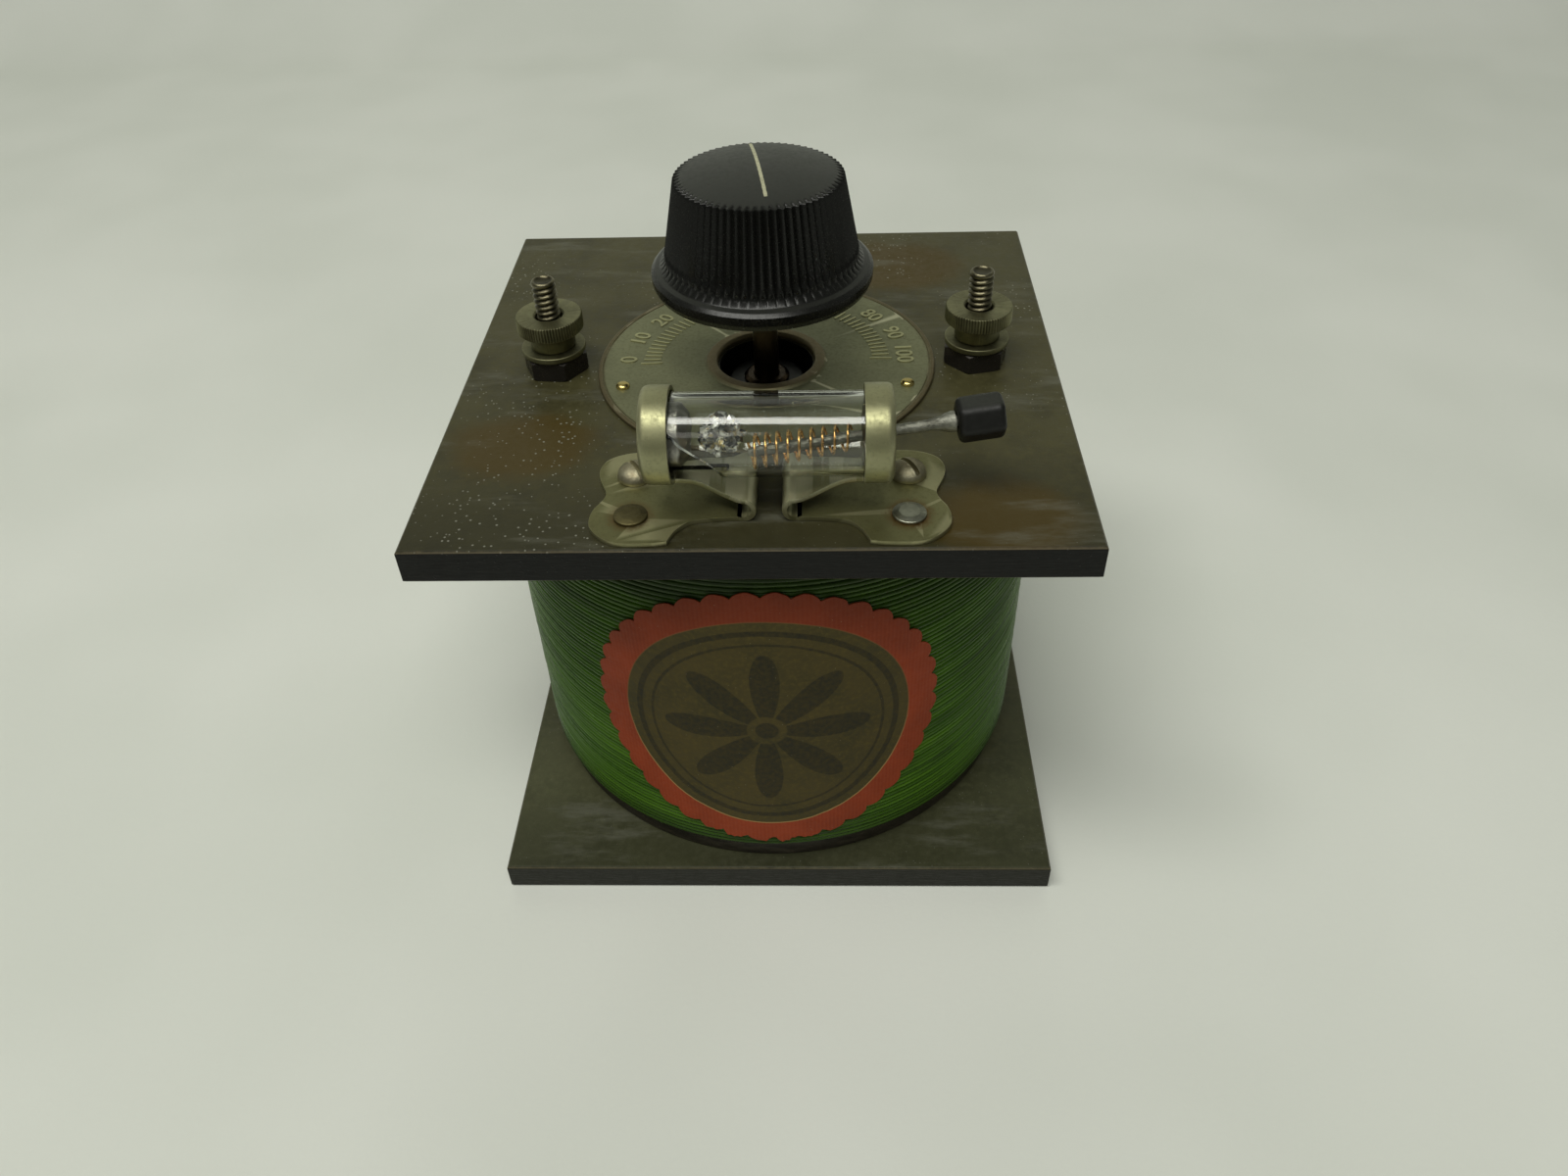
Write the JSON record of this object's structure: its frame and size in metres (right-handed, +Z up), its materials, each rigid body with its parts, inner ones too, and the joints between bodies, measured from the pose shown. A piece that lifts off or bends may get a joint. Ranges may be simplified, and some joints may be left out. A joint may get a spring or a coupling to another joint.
{
  "type": "crystal radio set",
  "caption": "Tabletop crystal radio: upright coil between two square plates, tuning knob over a round scale, two binding posts and a glass-tube crystal detector.",
  "frame": {"origin": "on the base plate's underside, straight below the middle of the panel", "axes": "+Z up along the tuning shaft, +X to the right and +Y to the back, with the crystal detector along the front edge"},
  "size_m": [0.0839, 0.0834, 0.0966],
  "materials": {
    "panel_rubber": "aged brown-olive hard rubber, satin",
    "base_rubber": "aged grey-olive hard rubber, dull",
    "black_moulding": "polished black moulding",
    "nickel": "worn yellowed nickel plate",
    "dull_brass": "tarnished brass",
    "bright_brass": "polished brass",
    "black_steel": "blackened steel",
    "steel": "dull steel",
    "rusty_steel": "steel with rust",
    "green_wire": "green varnished covering",
    "card": "varnished card tube",
    "paper": "printed red and gold paper",
    "maple": "bare turned wood",
    "aluminium": "rolled sheet",
    "glass": "clear",
    "galena": "grey metallic crystal",
    "solder": "grey soft metal",
    "bronze": "bright springy wire",
    "cloth": "waxed cotton covering"
  },
  "bodies": {
    "chassis": {"top_plate": "panel_rubber", "base_plate": "base_rubber", "coil_former": "card", "coil_winding": "green_wire", "seal_label": "paper", "top_ring": "maple", "bottom_ring": "maple", "base_screw_1": "steel", "base_screw_2": "steel", "base_screw_3": "steel", "dial_plate": "nickel", "dial_pin_left": "bright_brass", "dial_pin_right": "bright_brass", "shaft_bushing": "dull_brass", "condenser_top_plate": "black_moulding", "condenser_bottom_plate": "black_moulding", "condenser_screw_1": "steel", "condenser_screw_2": "steel", "condenser_screw_3": "steel", "stator_vanes": "aluminium", "left_bracket": "nickel", "right_bracket": "nickel", "left_bracket_screw": "rusty_steel", "right_bracket_screw": "rusty_steel", "left_bracket_rivet": "rusty_steel", "right_bracket_rivet": "steel", "glass_tube": "glass", "crystal_mount": "solder", "crystal": "galena", "lead_coil_top": "cloth", "lead_crystal": "cloth", "lead_whisker": "cloth", "lead_coil_bottom": "cloth", "left_post_stud": "dull_brass", "left_hex_nut": "black_steel", "left_lock_nut": "dull_brass", "right_post_stud": "dull_brass", "right_hex_nut": "black_steel", "right_lock_nut": "dull_brass"},
    "tuner": {"tuning_knob": "black_moulding", "knob_insert": "bright_brass", "knob_set_screw": "steel", "tuning_shaft": "steel", "rotor_vanes": "aluminium"},
    "left_post_washer": {"left_washer": "dull_brass"},
    "left_post_nut": {"left_thumb_nut": "dull_brass"},
    "right_post_washer": {"right_washer": "dull_brass"},
    "right_post_nut": {"right_thumb_nut": "dull_brass"},
    "whisker_collar": {"ball_collar": "dull_brass"},
    "whisker_ball": {"swivel_ball": "dull_brass"},
    "whisker_arm": {"whisker_rod": "steel"},
    "whisker_grip": {"whisker_handle": "black_moulding", "whisker_spring": "bronze"}
  },
  "joints": [
    {"name": "tuning_turn", "type": "hinge", "parent": "chassis", "child": "tuner", "pos_m": [0.0008, 0, 0.06], "axis": [0, 0, 1], "range_deg": [-95.4, 80.6]},
    {"name": "left_washer_lift", "type": "slide", "parent": "chassis", "child": "left_post_washer", "axis": [0, 0, 1], "range_m": [0, 0.00397]},
    {"name": "left_nut_turn", "type": "hinge", "parent": "left_post_washer", "child": "left_post_nut", "pos_m": [-0.0288, -0.00045, 0.074], "axis": [0, 0, 1], "range_deg": [0, 1800]},
    {"name": "right_washer_lift", "type": "slide", "parent": "chassis", "child": "right_post_washer", "axis": [0, 0, 1], "range_m": [0, 0.00397]},
    {"name": "right_nut_turn", "type": "hinge", "parent": "right_post_washer", "child": "right_post_nut", "pos_m": [0.0301, 0.00045, 0.074], "axis": [0, 0, 1], "range_deg": [0, 1800]},
    {"name": "whisker_swing", "type": "hinge", "parent": "chassis", "child": "whisker_collar", "pos_m": [0.01509, -0.0316, 0.0776], "axis": [0, 0, 1], "range_deg": [-10.6, 0]},
    {"name": "whisker_tilt", "type": "hinge", "parent": "whisker_collar", "child": "whisker_ball", "pos_m": [0.01509, -0.0316, 0.0776], "axis": [-0.0932, 0.9956, 0], "range_deg": [0, 11.9]},
    {"name": "whisker_slide", "type": "slide", "parent": "whisker_ball", "child": "whisker_arm", "axis": [0.9902, 0.0927, 0.1045], "range_m": [0, 0.0008]},
    {"name": "whisker_twist", "type": "hinge", "parent": "whisker_arm", "child": "whisker_grip", "pos_m": [0.01509, -0.0316, 0.0776], "axis": [0.9902, 0.0927, 0.1045], "continuous": true}
  ],
  "couplings": [
    {"joint": "left_nut_turn", "follows": "left_washer_lift", "rad_per_m": 7913.3},
    {"joint": "right_nut_turn", "follows": "right_washer_lift", "rad_per_m": 7913.3}
  ]
}
